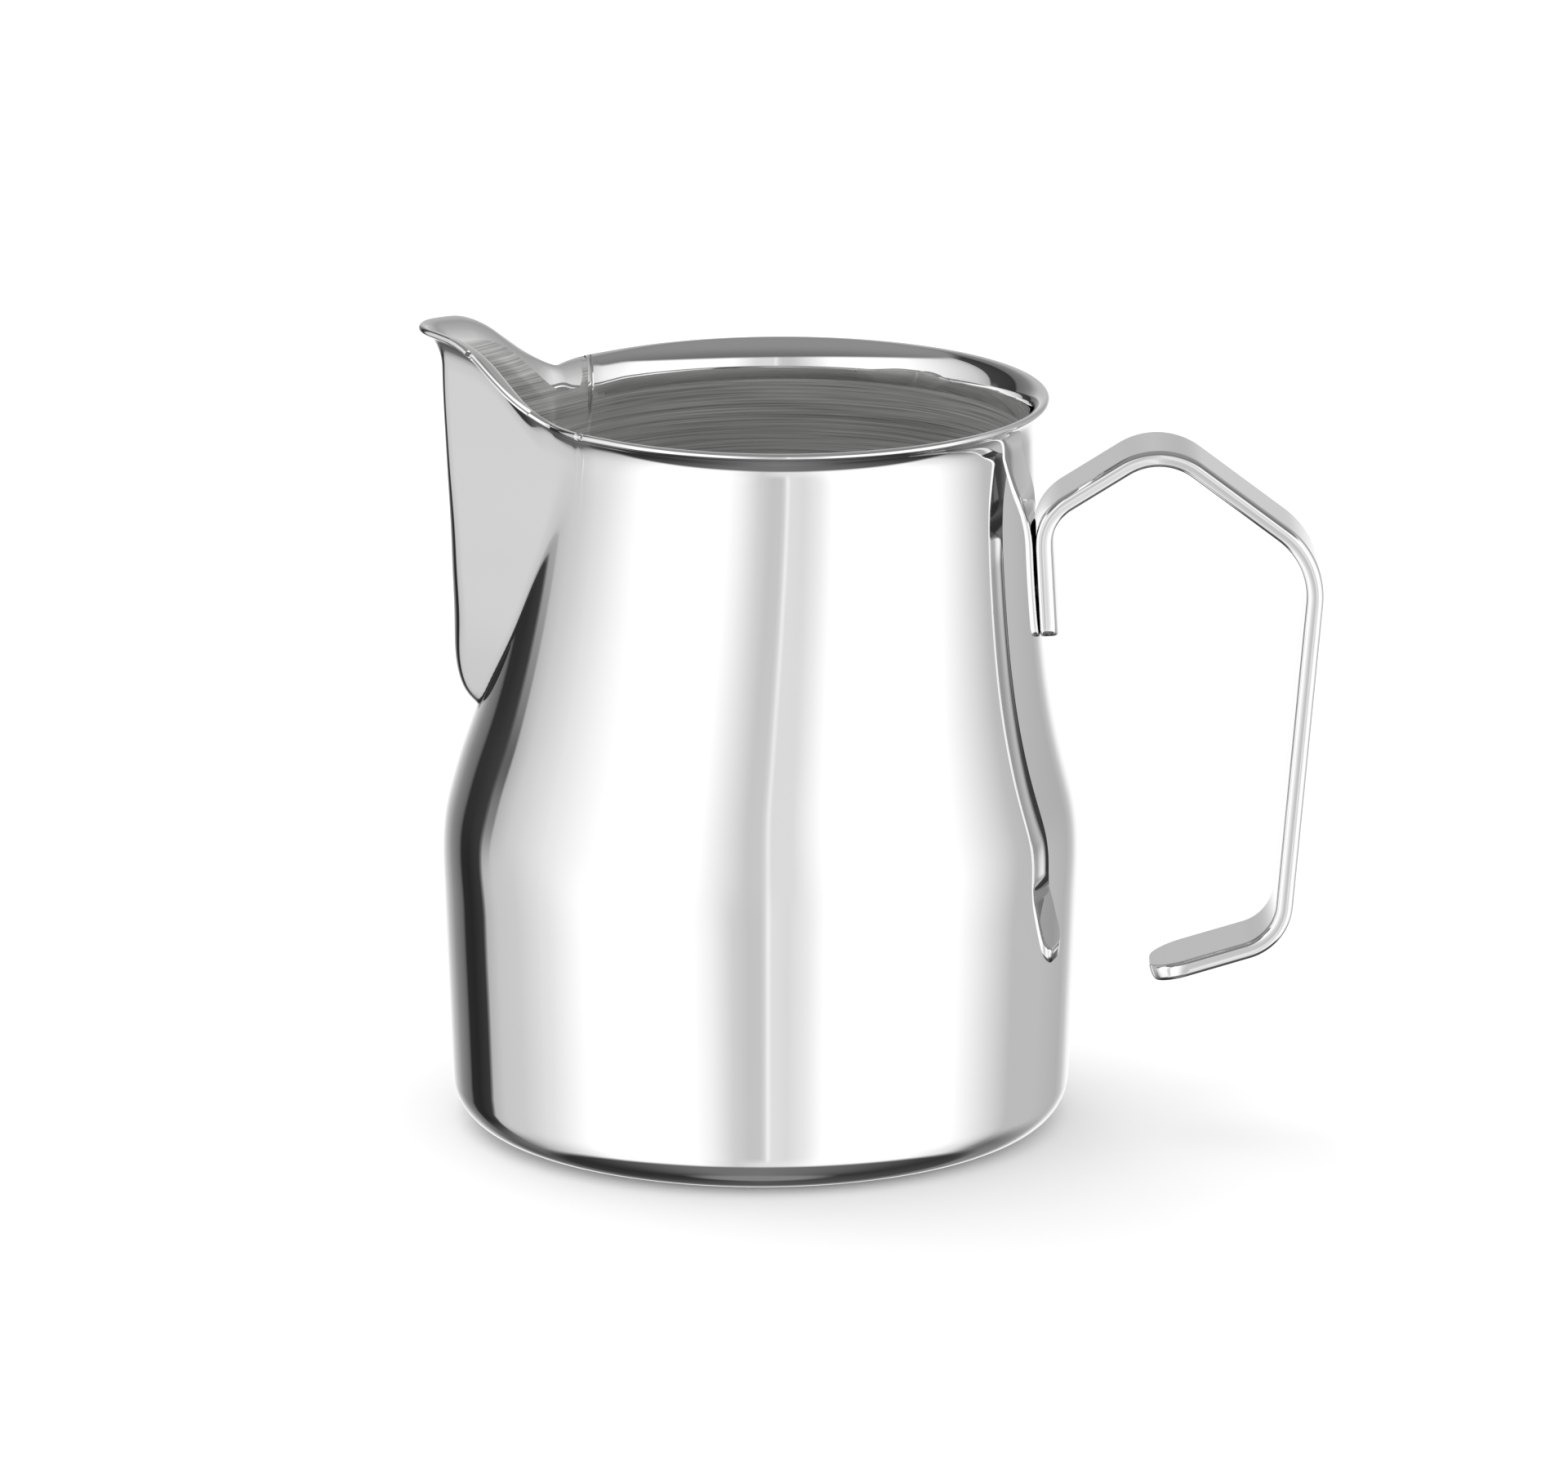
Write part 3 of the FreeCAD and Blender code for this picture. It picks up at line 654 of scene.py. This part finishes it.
strap_steel, tree, shader, haze = new_finish("polished_strap_steel", polish_haze, {
    "Steel": (.95, .95, .95, 1), "Clear Roughness": .02, "Hazy Roughness": .06,
    "Hairline Spread": (260, 2600, 260)})
raise_grain(tree, shader, haze.outputs["Height"], 0.06, 0.003)

weld_steel, tree, shader, tint = new_finish("weld_bead_steel", heat_tint, {"Bare": (.5, .5, .5, 1)})
shader.inputs["Roughness"].default_value = 0.36
raise_grain(tree, shader, tint.outputs["Height"], 0.4, 0.05)

jug = make_jug(mirror, brushed)
spout = make_spout(mirror, brushed)
seam = make_seam(mirror, weld_steel, brushed)
strap = make_strap(strap_steel)
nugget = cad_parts["handle_spot_weld"]
nugget.data.materials.clear()
nugget.data.materials.append(weld_steel)


# ------------------------------------------------------------------ floor, light and camera
FLOOR_HALF = 6.0
FLOOR_GAP = 0.0002
DIFFUSE_WHITE = 1.16
STUDIO_STRENGTH = 1.08


def make_floor():
    """Large pale table top that the polished steel does not mirror."""
    mesh = bpy.data.meshes.new("table_top")
    board = bmesh.new()
    bmesh.ops.create_grid(board, x_segments=8, y_segments=8, size=FLOOR_HALF)
    board.to_mesh(mesh)
    board.free()
    floor = bpy.data.objects.new("table_top", mesh)
    bpy.context.scene.collection.objects.link(floor)
    floor.location = (0, 0, -FLOOR_GAP)
    material = bpy.data.materials.new("pale_table")
    material.use_nodes = True
    shader = material.node_tree.nodes["Principled BSDF"]
    shader.inputs["Base Color"].default_value = (0.9, 0.9, 0.9, 1)
    shader.inputs["Roughness"].default_value = 0.9
    mesh.materials.append(material)
    floor.visible_glossy = False


def linear(tone):
    """Scene value that shows as this tone."""
    return ((tone + 0.055) / 1.055) ** 2.4 if tone > 0.04 else tone / 12.92


# direction round the table in degrees from the camera's side, towards +X, and tone of the studio
# there: a little below the level of the jug, then lower down, deeper still, and above
STUDIO_WALL = [
    (-180, 1.0), (-170, .94), (-160, .74), (-150, .53), (-139.5, .38), (-138.8, .17), (-131, .15),
    (-121.2, .22), (-120.4, .68), (-112, .76), (-100, .78), (-84, .87), (-66, 1.0), (-26, 1.0),
    (-18, .93), (-10, .80), (-4, .75), (1.2, .76), (2.4, .99), (3.2, .86), (10, .835), (17, .90),
    (24, 1.0), (75, 1.0), (84, .93), (94, .84), (106, .72), (125, .72), (147, .68), (154, .74),
    (164, .93), (180, 1.0),
]
STUDIO_LOW = [
    (-180, .46), (-150, .31), (-125, .42), (-105, .72), (-90, .82), (-66, .98), (-26, .98),
    (-10, .80), (0, .86), (12, .88), (24, .98), (66, .98), (90, .86), (108, .5), (120, .4),
    (150, .5), (180, .46),
]
STUDIO_DEEP = [
    (-180, .32), (-150, .2), (-120, .17), (-105, .2), (-90, .24), (-66, .32), (-30, .42), (0, .44),
    (30, .4), (66, .32), (90, .24), (110, .2), (150, .26), (180, .32),
]
STUDIO_HIGH = [
    (-180, .74), (-166, .7), (-155, .5), (-147, .44), (-139.5, .40), (-138.8, .20), (-114.8, .25),
    (-114, .66), (-105, .78), (-90, .86), (-60, 1.0), (-24, 1.0), (-5, .76), (1.2, .77), (2.4, .96),
    (3.2, .84), (12, .84), (24, 1.0), (75, 1.0), (90, .88), (105, .74), (120, .66), (150, .6),
    (166, .68), (180, .74),
]


def studio_world():
    """White studio, shown to mirror reflections as rings of light and dark sheets."""
    world = bpy.data.worlds.new("studio")
    bpy.context.scene.world = world
    world.use_nodes = True
    tree = world.node_tree
    tree.nodes.clear()
    add, join = tree.nodes.new, tree.links.new

    def maths(operation, *values):
        node = add("ShaderNodeMath")
        node.operation = operation
        for socket, value in zip(node.inputs, values):
            if isinstance(value, bpy.types.NodeSocket):
                join(value, socket)
            else:
                socket.default_value = value
        return node.outputs[0]

    def toward(turn, rise):
        t, r = math.radians(turn), math.radians(rise)
        node = add("ShaderNodeVectorMath")
        node.operation = "DOT_PRODUCT"
        join(where.outputs["Generated"], node.inputs[0])
        node.inputs[1].default_value = (math.sin(t) * math.cos(r), -math.cos(t) * math.cos(r), math.sin(r))
        return node.outputs["Value"]

    def within(value, start, full):
        node = add("ShaderNodeMapRange")
        node.interpolation_type = "SMOOTHSTEP"
        join(value, node.inputs["Value"])
        node.inputs["From Min"].default_value = start
        node.inputs["From Max"].default_value = full
        return node.outputs["Result"]

    def over(share, below, above):
        node = add("ShaderNodeMix")
        join(share, node.inputs["Factor"])
        for value, socket in ((below, node.inputs["A"]), (above, node.inputs["B"])):
            if isinstance(value, bpy.types.NodeSocket):
                join(value, socket)
            else:
                socket.default_value = value
        return node.outputs["Result"]

    where = add("ShaderNodeTexCoord")
    parts = add("ShaderNodeSeparateXYZ")
    join(where.outputs["Generated"], parts.inputs[0])
    turn = maths("ARCTAN2", parts.outputs["X"], maths("MULTIPLY", parts.outputs["Y"], -1.0))
    place_round = maths("MULTIPLY_ADD", turn, 0.5 / math.pi, 0.5)

    def ring(tones):
        node = add("ShaderNodeValToRGB")
        join(place_round, node.inputs["Fac"])
        stops = node.color_ramp.elements
        stops.remove(stops[1])
        for number, (degrees, tone) in enumerate(tones):
            place = (degrees + 180) / 360
            stop = stops[0] if number == 0 else stops.new(place)
            stop.position = place
            stop.color = (linear(tone),) * 3 + (1,)
        return node.outputs["Color"]

    def above(low, high):
        return within(parts.outputs["Z"], math.sin(math.radians(low)), math.sin(math.radians(high)))

    tone = over(above(-52, -45), ring(STUDIO_DEEP), ring(STUDIO_LOW))
    tone = over(above(-42, -25), tone, ring(STUDIO_WALL))
    tone = over(above(-15, 12), tone, ring(STUDIO_HIGH))
    ceiling = over(within(parts.outputs["Z"], 0.4, 0.95), linear(.42), linear(.54))
    disc = within(toward(15, 76), math.cos(math.radians(56)), math.cos(math.radians(50)))
    tone = over(disc, tone, ceiling)
    tone = over(within(maths("MULTIPLY", parts.outputs["Z"], -1.0), 0.965, 0.995), tone, linear(.5))
    path = add("ShaderNodeLightPath")
    shown = over(path.outputs["Is Glossy Ray"], DIFFUSE_WHITE, tone)
    background = add("ShaderNodeBackground")
    join(shown, background.inputs["Color"])
    background.inputs["Strength"].default_value = STUDIO_STRENGTH
    out = add("ShaderNodeOutputWorld")
    join(background.outputs[0], out.inputs["Surface"])


def soft_light(name, place, aim, size, power):
    """Square lamp at a place, turned to its aim."""
    lamp = bpy.data.lights.new(name, "AREA")
    lamp.size = size
    lamp.energy = power
    holder = bpy.data.objects.new(name, lamp)
    bpy.context.scene.collection.objects.link(holder)
    holder.location = place
    holder.rotation_euler = (Vector(aim) - Vector(place)).to_track_quat("-Z", "Y").to_euler()
    holder.visible_glossy = False


make_floor()
studio_world()
soft_light("key", (-0.7, 0.9, 1.3), (0, 0, 0.03), 1.5, 8.0)

lens = bpy.data.cameras.new("camera")
lens.lens = 268.0
lens.sensor_width = 36.0
lens.clip_start, lens.clip_end = 0.05, 40.0
camera = bpy.data.objects.new("camera", lens)
bpy.context.scene.collection.objects.link(camera)
camera.location = (0.00333, -1.600, 0.4699)
camera.rotation_euler = (math.radians(90 - 14.51), 0, 0)
bpy.context.scene.camera = camera
bpy.context.scene.view_settings.view_transform = "Standard"
